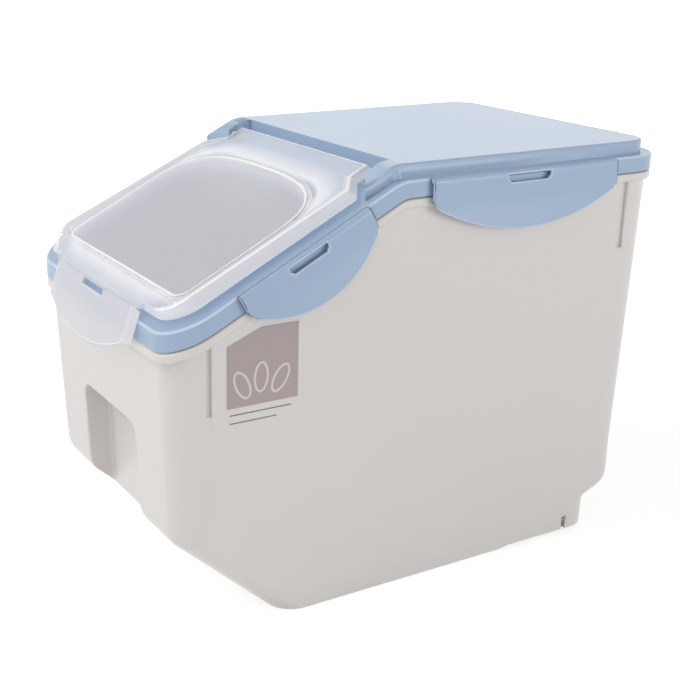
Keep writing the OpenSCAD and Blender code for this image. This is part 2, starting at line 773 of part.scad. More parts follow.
bin_tub();
label_panel();
wheel_left();
wheel_right();
axle_pin_left();
axle_pin_right();
lid_shell();
lid_gasket();
latch_front_left();
latch_front_right();
latch_rear_left();
latch_rear_right();
flip_lid();
flip_gasket();
flip_latch();
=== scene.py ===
"""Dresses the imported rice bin: softened mouldings, finishes, sticker, studio and camera."""

import json
import logging
import math
from dataclasses import dataclass
from enum import Enum, IntEnum
from typing import Callable, Sequence

import bmesh
import bpy
from mathutils import Color, Matrix, Vector

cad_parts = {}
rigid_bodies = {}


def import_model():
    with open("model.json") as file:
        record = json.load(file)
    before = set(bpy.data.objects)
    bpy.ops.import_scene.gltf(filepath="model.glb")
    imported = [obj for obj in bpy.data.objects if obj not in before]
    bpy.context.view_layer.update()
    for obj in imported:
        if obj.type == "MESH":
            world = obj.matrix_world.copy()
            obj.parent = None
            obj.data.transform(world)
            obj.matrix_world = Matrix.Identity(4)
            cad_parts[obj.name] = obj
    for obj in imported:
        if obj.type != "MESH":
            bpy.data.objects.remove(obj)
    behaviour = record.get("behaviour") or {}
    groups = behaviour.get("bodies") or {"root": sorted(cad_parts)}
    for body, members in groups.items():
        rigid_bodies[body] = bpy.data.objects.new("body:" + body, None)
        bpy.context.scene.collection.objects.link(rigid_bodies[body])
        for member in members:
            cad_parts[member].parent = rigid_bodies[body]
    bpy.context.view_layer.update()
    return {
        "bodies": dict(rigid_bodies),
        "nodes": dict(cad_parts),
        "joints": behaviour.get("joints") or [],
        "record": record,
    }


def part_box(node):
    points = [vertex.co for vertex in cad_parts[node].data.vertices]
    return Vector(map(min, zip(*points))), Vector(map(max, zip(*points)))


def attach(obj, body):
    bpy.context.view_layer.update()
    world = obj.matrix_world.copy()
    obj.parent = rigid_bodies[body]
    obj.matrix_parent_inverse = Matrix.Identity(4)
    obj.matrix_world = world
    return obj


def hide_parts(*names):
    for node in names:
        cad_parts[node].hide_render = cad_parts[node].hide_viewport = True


LOG = logging.getLogger("rice_bin")
MM = 0.001

Colour = tuple[float, float, float, float]
Pair = tuple[float, float]
Point = tuple[float, float, float]
Tree = bpy.types.NodeTree
Socket = bpy.types.NodeSocket
Material = bpy.types.Material
Shape = bmesh.types.BMesh
Face = bmesh.types.BMFace


class Slot(Enum):
    """The record's material slots."""

    TUB = "white_body"
    LID = "blue_lid"
    CLEAR = "clear_lid"
    SEAL = "seal"
    WHEEL = "wheel"
    PIN = "pin"
    LABEL = "label"


class Side(Enum):
    """The bin's two sides, by the sign of x."""

    LEFT = -1
    RIGHT = 1


class Look(IntEnum):
    """A face's material number, in the order of its piece's finishes."""

    BODY = 0
    # Faces painted paler or white as a painted highlight: rounded edges and the window's bead.
    EDGE = 1
    DENSE = 2
    PANE = 3


# ---- colours and nodes ----


def linear(hex_colour: str) -> Colour:
    """An sRGB hex colour, such as "a9c3dd", as linear light with an alpha of one."""
    colour = Color([int(hex_colour[i : i + 2], 16) / 255 for i in (0, 2, 4)])
    return (*colour.from_srgb_to_scene_linear(), 1.0)


def add_node(tree: Tree, kind: str, settings: dict | None = None, **inputs: object) -> bpy.types.Node:
    """Adds one shader node with its settings, values and links.

    Args:
        tree: the node tree that takes the node.
        kind: its class name after "ShaderNode", such as "TexNoise".
        settings: attributes of the node itself.
        **inputs: a value or an output socket for each input, by name with
            underscores for spaces, or by index as i0, i1 and so on.

    Returns:
        The new node.
    """
    node = tree.nodes.new(f"ShaderNode{kind}")
    for name, value in (settings or {}).items():
        setattr(node, name, value)
    for name, value in inputs.items():
        key = int(name[1:]) if name[0] == "i" and name[1:].isdigit() else name.replace("_", " ")
        socket = node.inputs[key]
        if isinstance(value, Socket):
            tree.links.new(value, socket)
        else:
            socket.default_value = value
    return node


def reckon(tree: Tree, operation: str, *terms: object, kind: str = "Math") -> Socket:
    """Works out a number or, of the vector kind, a vector from values and sockets."""
    inputs = {f"i{place}": term for place, term in enumerate(terms)}
    return add_node(tree, kind, {"operation": operation}, **inputs).outputs[0]


def fade(tree: Tree, value: Socket, span: Pair, ends: Pair, kind: str = "SMOOTHSTEP") -> Socket:
    """A change from one end's value to the other's while the input crosses a span."""
    return add_node(
        tree, "MapRange", {"interpolation_type": kind}, Value=value, From_Min=span[0],
        From_Max=span[1], To_Min=ends[0], To_Max=ends[1],
    ).outputs["Result"]


def noise(tree: Tree, place: Socket, size_mm: float, detail: float = 2.0) -> Socket:
    """Soft noise from 0 to 1, in clouds of a size with some finer layers."""
    return add_node(
        tree, "TexNoise", Vector=place, Scale=1 / (size_mm * MM), Detail=detail
    ).outputs["Fac"]


def relief(tree: Tree, height: Socket, depth_mm: float, **under: Socket) -> Socket:
    """The normal as a fine relief bends it, on top of another relief's Normal if given."""
    return add_node(
        tree, "Bump", Strength=1.0, Distance=depth_mm * MM, Height=height, **under
    ).outputs["Normal"]


def new_material(name: str) -> tuple[Material, Tree]:
    """Makes an empty node material.

    Args:
        name: the material's name.

    Returns:
        The material and its node tree.
    """
    material = bpy.data.materials.new(name)
    material.use_nodes = True
    material.node_tree.nodes.clear()
    return material, material.node_tree


def stand(name: str, data: bpy.types.ID) -> bpy.types.Object:
    """Makes an object of its data and puts it in the scene.

    Args:
        name: the object's name.
        data: its mesh, lamp or camera.

    Returns:
        The object.
    """
    thing = bpy.data.objects.new(name, data)
    bpy.context.scene.collection.objects.link(thing)
    return thing


def aim(thing: bpy.types.Object, place: Point, target: Point, roll_deg: float = 0.0) -> None:
    """Sets a camera or a lamp in its place and turns it to look at a point."""
    turn = (Vector(target) - Vector(place)).to_track_quat("-Z", "Y").to_matrix().to_4x4()
    thing.matrix_world = (
        Matrix.Translation(place) @ turn @ Matrix.Rotation(math.radians(roll_deg), 4, "Z")
    )


# ---- finishes ----


@dataclass(frozen=True)
class MouldedPlastic:
    """Injection-moulded plastic: an even body colour under a faintly wavy skin.

    The skin ripples by a hundredth of a millimetre over a few centimetres where
    the wall cooled, which bends the reflections; a finer spark-eroded texture,
    drawn coarse enough to show, dulls them. It is rubbed a little duller or
    brighter in broad patches.
    """

    name: str
    colour: str
    shade: str
    roughness: float
    ior: float = 1.49
    ripple_mm: float = 30.0
    ripple_depth_mm: float = 0.008
    texture_mm: float = 0.9
    texture_depth_mm: float = 0.004
    cloud_mm: float = 60.0
    rub: Pair = (0.94, 1.1)

    def material(self) -> Material:
        """Builds the node material.

        Returns:
            The material.
        """
        material, tree = new_material(self.name)
        place = add_node(tree, "TexCoord").outputs["Object"]
        cloud = noise(tree, place, self.cloud_mm)
        colour = add_node(
            tree, "Mix", {"data_type": "RGBA"},
            i0=cloud, i6=linear(self.shade), i7=linear(self.colour),
        )
        wave = relief(tree, noise(tree, place, self.ripple_mm, 1.0), self.ripple_depth_mm)
        texture = noise(tree, place, self.texture_mm)
        skin = relief(tree, texture, self.texture_depth_mm, Normal=wave)
        rubbed = (self.roughness * self.rub[0], self.roughness * self.rub[1])
        shader = add_node(
            tree, "BsdfPrincipled", Base_Color=colour.outputs[2],
            Roughness=fade(tree, cloud, (0.0, 1.0), rubbed, "LINEAR"), IOR=self.ior, Normal=skin,
        )
        add_node(tree, "OutputMaterial", Surface=shader.outputs["BSDF"])
        return material


@dataclass(frozen=True)
class Halo:
    """A rounded outline on the slope, in millimetres, round which a wall looks milkier."""

    half_width: float
    half_run: float
    middle_s: float
    corner: float
    start: float
    reach: float
    gain: float
    far: float = 1000.0

    def nearness(self, tree: Tree, place: Socket, deck: "Deck") -> Socket:
        """Adds nodes that rise to the gain just past the outline and fade to its reach.

        Args:
            tree: the node tree that takes the nodes.
            place: the point in the shared frame, in metres.
            deck: the deck whose slope carries the outline.

        Returns:
            A socket that holds what the wall gains in milkiness.
        """
        past = add_node(
            tree, "Mapping", {"vector_type": "TEXTURE"}, Vector=place,
            Location=deck.slope_point(0.0, self.middle_s, 0.0),
            Rotation=(math.radians(deck.slope_deg), 0.0, 0.0), Scale=(MM, MM, MM),
        ).outputs[0]
        core = (self.half_width - self.corner, self.half_run - self.corner, self.far)
        for step in (("ABSOLUTE",), ("SUBTRACT", core), ("MAXIMUM", (0.0, 0.0, 0.0))):
            past = reckon(tree, step[0], past, *step[1:], kind="VectorMath")
        away = add_node(tree, "VectorMath", {"operation": "LENGTH"}, i0=past).outputs["Value"]
        edge = self.corner
        faded = fade(tree, away, (edge, edge + self.reach), (self.gain, 0.0))
        started = fade(tree, away, (edge, edge + self.start), (0.0, 1.0))
        return reckon(tree, "MULTIPLY", faded, started)


@dataclass(frozen=True)
class ClearPlastic:
    """See-through polypropylene, moulded against a polished or a satin steel face.

    The wall is a little cloudy, so part of the light scatters back as milk and
    the rest comes through; a satin face blurs it more. Light falls through the
    wall nearly undimmed, so what lies under it stays bright.
    """

    name: str
    colour: str
    haze: float
    roughness: float
    body: float
    pass_light: float = 0.85
    gloss: float = 0.5
    halo: Halo | None = None
    ior: float = 1.49
    texture_mm: float = 0.8
    texture_depth_mm: float = 0.004

    def material(self, deck: "Deck") -> Material:
        """Builds the node material.

        Args:
            deck: the deck that a halo lies on.

        Returns:
            The material.
        """
        material, tree = new_material(self.name)
        place = add_node(tree, "TexCoord").outputs["Object"]
        shadow = add_node(tree, "LightPath").outputs["Is Shadow Ray"]
        opened = reckon(tree, "MULTIPLY_ADD", shadow, -self.pass_light, 1.0)
        body = self.body
        if self.halo:
            body = reckon(tree, "ADD", self.halo.nearness(tree, place, deck), self.body)
        wall = add_node(
            tree, "BsdfPrincipled", Base_Color=linear(self.colour), Roughness=self.roughness,
            IOR=self.ior, Specular_IOR_Level=self.gloss, Transmission_Weight=1.0 - self.haze,
            Alpha=reckon(tree, "MULTIPLY", opened, body),
            Normal=relief(tree, noise(tree, place, self.texture_mm), self.texture_depth_mm),
        )
        add_node(tree, "OutputMaterial", Surface=wall.outputs["BSDF"])
        return material


# White polypropylene, moulded in a satin tool: a soft, even sheen over warm white.
TUB_PLASTIC = MouldedPlastic("white_polypropylene", "dcd8d5", "dad6d3", 0.3)
# Polypropylene coloured in the melt: pale blue all through, with the tub's sheen.
LID_PLASTIC = MouldedPlastic("pale_blue_polypropylene", "a0b6d0", "9eb4ce", 0.3)
# A paler copy of the same plastic on its narrow rounded edges: a painted highlight for the light that
# they gather.
LID_PAINTED_HIGHLIGHT = MouldedPlastic("pale_blue_polypropylene_edge", "c6d4e8", "c2d0e4", 0.3)
# Clear polypropylene behind a satin face: milky, most of all round the window's seal.
SATIN_CLEAR = ClearPlastic(
    "satin_clear_polypropylene", "f6f5f9", 0.9, 0.3, 0.3,
    halo=Halo(84.0, 54.0, 84.0, 36.0, 4.0, 18.0, 0.6),
)
# The same wall where it stands on edge: more of it in the line of sight, so denser.
DENSE_CLEAR = ClearPlastic("dense_clear_polypropylene", "e9e9ee", 0.9, 0.4, 0.72, gloss=0.2)
# The same plastic in the front latch, whose faces are all satin: an even, cool milk.
LATCH_CLEAR = ClearPlastic("frosted_clear_polypropylene", "dedee3", 0.9, 0.35, 0.66)
# The window, moulded against polished steel: clear enough to see the lid under it.
POLISHED_CLEAR = ClearPlastic("polished_clear_polypropylene", "eeeef7", 0.85, 0.16, 0.48, 0.7)
# Narrow rounded edges gather the light that runs along the wall and look white: painted as an opaque
# white copy of the plastic, a painted highlight.
CLEAR_PAINTED_HIGHLIGHT = ClearPlastic("clear_polypropylene_edge", "ffffff", 0.9, 0.25, 1.0, gloss=0.3)
# Silicone, cast: soft, matt and faintly cool white.
SEAL_SILICONE = MouldedPlastic("white_silicone", "e9eaec", "e4e5e8", 0.55)
# Acetal, moulded: grey and waxy, a little duller where it rolls; the pins are lighter.
WHEEL_PLASTIC = MouldedPlastic("grey_acetal", "8c8f92", "84878a", 0.4)
PIN_PLASTIC = MouldedPlastic("light_grey_acetal", "bdbcba", "b6b5b3", 0.35)
# Printed vinyl film: a flat mauve-grey with a dull sheen, and its pale and dark inks.
STICKER_FILM = MouldedPlastic("matt_vinyl_film", "aea1a0", "aa9d9c", 0.5)
PALE_INK = MouldedPlastic("pale_printing_ink", "d6d0ce", "d2ccca", 0.45)
DARK_INK = MouldedPlastic("dark_printing_ink", "7b7472", "77706e", 0.45)


@dataclass(frozen=True)
class Palette:
    """The materials, one for each finish."""

    tub: Material
    lid: Material
    # The lid's paler painted highlight on its rounded edges.
    lid_edge: Material
    satin: Material
    dense: Material
    frosted: Material
    polished: Material
    # The clear parts' white painted highlight on rounded edges and the window's bead.
    bright: Material
    seal: Material
    wheel: Material
    pin: Material
    film: Material
    pale_ink: Material
    dark_ink: Material

    @classmethod
    def mix(cls, deck: "Deck") -> "Palette":
        """Builds every material.

        Args:
            deck: the deck that the window's halo lies on.

        Returns:
            The palette.
        """
        clear = (SATIN_CLEAR, DENSE_CLEAR, LATCH_CLEAR, POLISHED_CLEAR, CLEAR_PAINTED_HIGHLIGHT)
        solid = (SEAL_SILICONE, WHEEL_PLASTIC, PIN_PLASTIC, STICKER_FILM, PALE_INK, DARK_INK)
        return cls(
            TUB_PLASTIC.material(), LID_PLASTIC.material(), LID_PAINTED_HIGHLIGHT.material(),
            *(finish.material(deck) for finish in clear),
            *(finish.material() for finish in solid),
        )


# ---- the deck that the bin is set out from ----


@dataclass(frozen=True)
class Deck:
    """The lid's bent top, in millimetres from the middle of the lid's flange.

    Distances down the slope start at the bend; heights are square to the deck.
    """

    middle_y: float
    top_z: float = 253.5
    bend_y: float = 30.0
    bend_r: float = 28.0
    slope_deg: float = 26.7
    half_width: float = 106.0
    half_length: float = 171.0
    corner_r: float = 25.0
    rear_latch_y: float = 57.0
    front_latch_s: float = 70.504

    @classmethod
    def of(cls, flange_rear_y: float) -> "Deck":
        """Places the deck by the rear of the lid's flange, given in metres."""
        return cls(middle_y=flange_rear_y / MM - cls.half_length)

    @property
    def lean(self) -> Pair:
        """Cosine and sine of the slope's angle."""
        turn = math.radians(self.slope_deg)
        return math.cos(turn), math.sin(turn)

    @property
    def slope_up(self) -> Vector:
        """Direction square to the slope in the shared frame."""
        c, k = self.lean
        return Vector((0.0, -k, c))

    def local(self, point: Vector) -> Vector:
        """Millimetres from the middle of the lid's flange for a point in metres."""
        return Vector((point.x / MM, point.y / MM - self.middle_y, point.z / MM))

    def world(self, x: float, y: float, z: float) -> Vector:
        """Metres in the shared frame for a point in the deck's millimetres."""
        return Vector((x, y + self.middle_y, z)) * MM

    def slope_point(self, x: float, s: float, h: float) -> Vector:
        """Metres in the shared frame for a point s down the slope and h above it."""
        c, k = self.lean
        return self.world(x, -self.bend_y - s * c - h * k, self.top_z - s * k + h * c)

    def down_slope(self, p: Vector) -> Pair:
        """Distance down the slope and height above it for a local point."""
        (c, k), back, up = self.lean, p.y + self.bend_y, p.z - self.top_z
        return -back * c - up * k, -back * k + up * c

    def height(self, p: Vector) -> float:
        """Height above the deck, square to it, round the bend too.

        Args:
            p: a local point.

        Returns:
            The height.
        """
        half_turn = math.radians(self.slope_deg / 2)
        centre_y = self.bend_r * math.tan(half_turn) - self.bend_y
        out, up = centre_y - p.y, p.z - self.top_z + self.bend_r
        if 0 < math.atan2(out, up) < 2 * half_turn:
            return math.hypot(out, up) - self.bend_r
        return max(p.z - self.top_z, self.down_slope(p)[1])

    def in_plan(self, p: Vector) -> float:
        """Distance in plan from the flange's edge in to a point.

        Args:
            p: a local point.

        Returns:
            The distance, less than zero outside the flange.
        """
        dx = abs(p.x) - self.half_width + self.corner_r
        dy = abs(p.y) - self.half_length + self.corner_r
        return self.corner_r - (math.hypot(dx, dy) if min(dx, dy) > 0 else max(dx, dy))


# ---- softened mouldings ----


def near(size: float, wanted: float, by: float = 0.3) -> bool:
    """Whether a size in millimetres is the wanted one, give or take a little."""
    return abs(size - wanted) < by


def smooth(share: float) -> float:
    """A share from 0 to 1 with soft ends, for a value that may lie outside them."""
    kept = min(max(share, 0.0), 1.0)
    return kept * kept * (3 - 2 * kept)


def thicken(shape: Shape, by: Vector) -> None:
    """Grows a flat shape into a closed one.

    Args:
        shape: the flat shape.
        by: how far the second copy of its faces lies from them.
    """
    grown = bmesh.ops.extrude_face_region(shape, geom=shape.faces[:])["geom"]
    moved = [item for item in grown if isinstance(item, bmesh.types.BMVert)]
    bmesh.ops.translate(shape, verts=moved, vec=by)
    bmesh.ops.recalc_face_normals(shape, faces=shape.faces)


def inset(shape: Shape, faces: list[Face], width_mm: float) -> list[Face]:
    """Insets faces as one region and gives back the band round them."""
    return bmesh.ops.inset_region(
        shape, faces=faces, thickness=width_mm * MM, depth=0.0, use_even_offset=True,
        use_boundary=True,
    )["faces"]


@dataclass(frozen=True)
class Corner:
    """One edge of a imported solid, in the deck's millimetres.

    A positive turn is an outer corner and a negative one an inner corner, in
    degrees. The slope is its distance down the slope and its height above that.
    """

    mid: Vector
    run: Vector
    turn: float
    height: float
    slope: Pair
    in_plan: float

    @classmethod
    def of(cls, edge: bmesh.types.BMEdge, deck: Deck) -> "Corner":
        """Reads an edge.

        Args:
            edge: an edge that joins two faces.
            deck: the deck that it is set out from.

        Returns:
            The corner.
        """
        a, b = (deck.local(v.co) for v in edge.verts)
        mid, turn = (a + b) / 2, math.degrees(edge.calc_face_angle_signed(0.0))
        found = deck.height(mid), deck.down_slope(mid), deck.in_plan(mid)
        return cls(mid, (b - a).normalized(), turn, *found)

    def outer(self, low: float = 40.0) -> bool:
        """Whether it is an outer corner of at least low degrees."""
        return self.turn > low

    def inner(self, low: float = 40.0) -> bool:
        """Whether it is an inner corner of at least low degrees."""
        return self.turn < -low


@dataclass(frozen=True)
class Softening:
    """A rounding that the mould gives to some of a piece's edges."""

    what: str
    radius: float
    picks: Callable[[Corner], bool]
    segments: int = 3
    look: Look = Look.BODY

    def cut(self, shape: Shape, deck: Deck) -> None:
        """Rounds the edges that it picks.

        Args:
            shape: the shape.
            deck: the deck that the edges are picked by.
        """
        edges = [e for e in shape.edges if len(e.link_faces) == 2 and self.picks(Corner.of(e, deck))]
        LOG.info("  %s: %d edges, %.1f mm", self.what, len(edges), self.radius)
        if edges:
            rounded = bmesh.ops.bevel(
                shape, geom=edges, offset=self.radius * MM, offset_type="OFFSET",
                segments=self.segments, profile=0.5, affect="EDGES", material=-1,
                clamp_overlap=False,
            )
            for face in rounded["faces"]:
                face.material_index = self.look


def finish_piece(
    shape: Shape, name: str, body: str, finishes: Sequence[Material],
    stands_for: str = "",
) -> bpy.types.Object:
    """Makes a smooth-shaded piece from a shape and gives it its place in the model.

    Args:
        shape: the shape, which is freed.
        name: the piece's name.
        body: the body that it rides on.
        finishes: its materials, in the order of the faces' material numbers.
        stands_for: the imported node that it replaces, if it does.

    Returns:
        The piece.
    """
    crisp_deg = 34.0
    mesh = bpy.data.meshes.new(name)
    shape.to_mesh(mesh)
    shape.free()
    for finish in finishes:
        mesh.materials.append(finish)
    mesh.shade_smooth()
    mesh.set_sharp_from_angle(angle=math.radians(crisp_deg))
    piece = stand(name, mesh)
    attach(piece, body)
    if stands_for:
        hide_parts(stands_for)
    LOG.info("%s: %d faces", name, len(mesh.polygons))
    return piece


def weigh_normals(piece: bpy.types.Object) -> None:
    """Keeps a piece's broad faces flat and lets its rounded edges take the bend."""
    weigh = piece.modifiers.new("weigh", "WEIGHTED_NORMAL")
    weigh.keep_sharp = True


@dataclass
class BinPart:
    """A part of the bin, and what it is made from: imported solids, deck and materials."""

    frame: dict
    deck: Deck
    palette: Palette

    def soft_copy(self, node: str, *softenings: Softening) -> Shape:
        """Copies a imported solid, merges its triangles and rounds some of its edges.

        Args:
            node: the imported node's name.
            *softenings: the roundings, in the order in which they are cut.

        Returns:
            The rounded shape.
        """
        merge_mm, flat_deg = 0.002, 0.6
        shape = bmesh.new()
        shape.from_mesh(self.frame["nodes"][node].data)
        bmesh.ops.remove_doubles(shape, verts=shape.verts, dist=merge_mm * MM)
        bmesh.ops.dissolve_limit(
            shape, angle_limit=math.radians(flat_deg), verts=shape.verts, edges=shape.edges
        )
        bmesh.ops.connect_verts_concave(shape, faces=shape.faces)
        for softening in softenings:
            softening.cut(shape, self.deck)
        shape.normal_update()
        return shape

    def set_in(self, shape: Shape, node: str, body: str, slot: Slot, *finishes: Material) -> None:
        """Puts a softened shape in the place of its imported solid."""
        weigh_normals(finish_piece(shape, f"{node}_piece", body, finishes, node))

    def dress(self, node: str, finish: Material) -> None:
        """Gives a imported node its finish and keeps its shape.

        Args:
            node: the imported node's name.
            finish: its material.
        """
        mesh = self.frame["nodes"][node].data
        mesh.materials.clear()
        mesh.materials.append(finish)
        LOG.info("%s: finish %s", node, finish.name)


# ---- studio ----


@dataclass(frozen=True)
class ViewPoint:
    """The camera: its place, what it looks at and its lens."""

    position: Point = (0.6655, -0.40926, 0.3866)
    target: Point = (-0.0024, 0.00214, 0.1255)
    roll_deg: float = 0.807
    focal_px: float = 1250.5
    frame_px: float = 680.0
    centre_px: Pair = (-1.7, 1.0)
    sensor_mm: float = 36.0
    sees_to: float = 20.0

    def build(self) -> None:
        """Makes the camera and sets it as the scene's own."""
        data = bpy.data.cameras.new("view")
        data.sensor_fit = "HORIZONTAL"
        data.sensor_width = self.sensor_mm
        data.lens = self.focal_px * self.sensor_mm / self.frame_px
        data.shift_x = -self.centre_px[0] / self.frame_px
        data.shift_y = self.centre_px[1] / self.frame_px
        data.clip_end = self.sees_to
        bpy.context.scene.camera = stand("view", data)
        aim(bpy.context.scene.camera, self.position, self.target, self.roll_deg)


@dataclass(frozen=True)
class SoftBox:
    """One soft studio lamp, aimed at a point; sizes are metres."""

    name: str
    position: Point
    target: Point
    width: float
    height: float
    watts: float

    def build(self) -> None:
        """Makes the lamp."""
        data = bpy.data.lights.new(self.name, "AREA")
        data.shape = "RECTANGLE"
        data.size = self.width
        data.size_y = self.height
        data.energy = self.watts
        aim(stand(self.name, data), self.position, self.target)


@dataclass(frozen=True)
class Studio:
    """A white paper floor under soft lamps, in a surround that is white to the eye.

    Its ambient light is given as it comes level with the floor and from straight above.
    """

    floor_size: float = 12.0
    ambient: Pair = (0.46, 0.4)
    shadow_keep: float = 0.5
    shadow_lift: float = 0.72
    clear: Pair = (0.45, 1.3)
    lamps: tuple[SoftBox, ...] = (
        SoftBox("front", (-0.5, -1.3, 1.9), (0.0, 0.0, 0.12), 1.2, 1.2, 17.0),
        SoftBox("front_low", (-0.3, -1.9, 0.7), (0.0, 0.0, 0.12), 1.2, 1.0, 5.5),
        SoftBox("rear", (-1.7, 1.0, 0.95), (0.0, 0.0, 0.25), 1.8, 0.9, 3.8),
        SoftBox("right_front", (1.7, -1.1, 0.55), (0.0, 0.0, 0.12), 1.0, 0.7, 4.0),
        SoftBox("right_rear", (1.9, 1.0, 0.5), (0.0, 0.0, 0.12), 1.0, 0.7, 11.0),
    )

    def seen(self, tree: Tree) -> Socket:
        """One where a ray reaches the camera straight, by gloss or through glass, else zero."""
        path = add_node(tree, "LightPath").outputs
        return reckon(
            tree, "MAXIMUM", path["Is Camera Ray"],
            reckon(tree, "MAXIMUM", path["Is Glossy Ray"], path["Is Transmission Ray"]),
        )

    def surround(self) -> None:
        """Makes the world: white to the eye, softer as a light."""
        world = bpy.data.worlds.new("surround")
        bpy.context.scene.world = world
        world.use_nodes = True
        tree = world.node_tree
        tree.nodes.clear()
        toward = add_node(tree, "TexCoord").outputs["Generated"]
        height = add_node(tree, "SeparateXYZ", Vector=toward).outputs["Z"]
        soft = fade(tree, height, (0.0, 1.0), self.ambient, "LINEAR")
        strength = add_node(tree, "Mix", i0=self.seen(tree), i2=soft, i3=1.0)
        glow = add_node(tree, "Background", Color=linear("ffffff"), Strength=strength.outputs[0])
        add_node(tree, "OutputWorld", Surface=glow.outputs["Background"])

    def paper(self) -> Material:
        """Makes paper that reads white, keeps the bin's soft shadow and clears far out.

        Returns:
            The floor's material.
        """
        material, tree = new_material("white_paper")
        place = add_node(tree, "TexCoord").outputs["Object"]
        reach = add_node(tree, "VectorMath", {"operation": "LENGTH"}, i0=place)
        cleared = fade(tree, reach.outputs["Value"], self.clear, (self.shadow_lift, 1.0))
        lit = add_node(tree, "BsdfDiffuse", Color=linear("f2f2f2"))
        kept = (self.shadow_keep,) * 3 + (1.0,)
        shaded = add_node(tree, "BsdfDiffuse", Color=kept)
        glow = add_node(tree, "Emission", Color=linear("ffffff"), Strength=cleared)
        shown = add_node(tree, "AddShader", i0=shaded.outputs[0], i1=glow.outputs[0])
        both = add_node(tree, "MixShader", Fac=self.seen(tree), i1=lit.outputs[0], i2=shown.outputs[0])
        add_node(tree, "OutputMaterial", Surface=both.outputs[0])
        return material

    def floor(self) -> None:
        """Lays the floor under the bin."""
        shape = bmesh.new()
        bmesh.ops.create_grid(shape, x_segments=1, y_segments=1, size=self.floor_size / 2)
        mesh = bpy.data.meshes.new("floor")
        shape.to_mesh(mesh)
        shape.free()
        mesh.materials.append(self.paper())
        floor = stand("floor", mesh)

    def build(self) -> None:
        """Makes the surround, the floor and the lamps."""
        bpy.context.scene.view_settings.view_transform = "Standard"
        self.surround()
        self.floor()
        for lamp in self.lamps:
            lamp.build()


# ---- the side latches ----


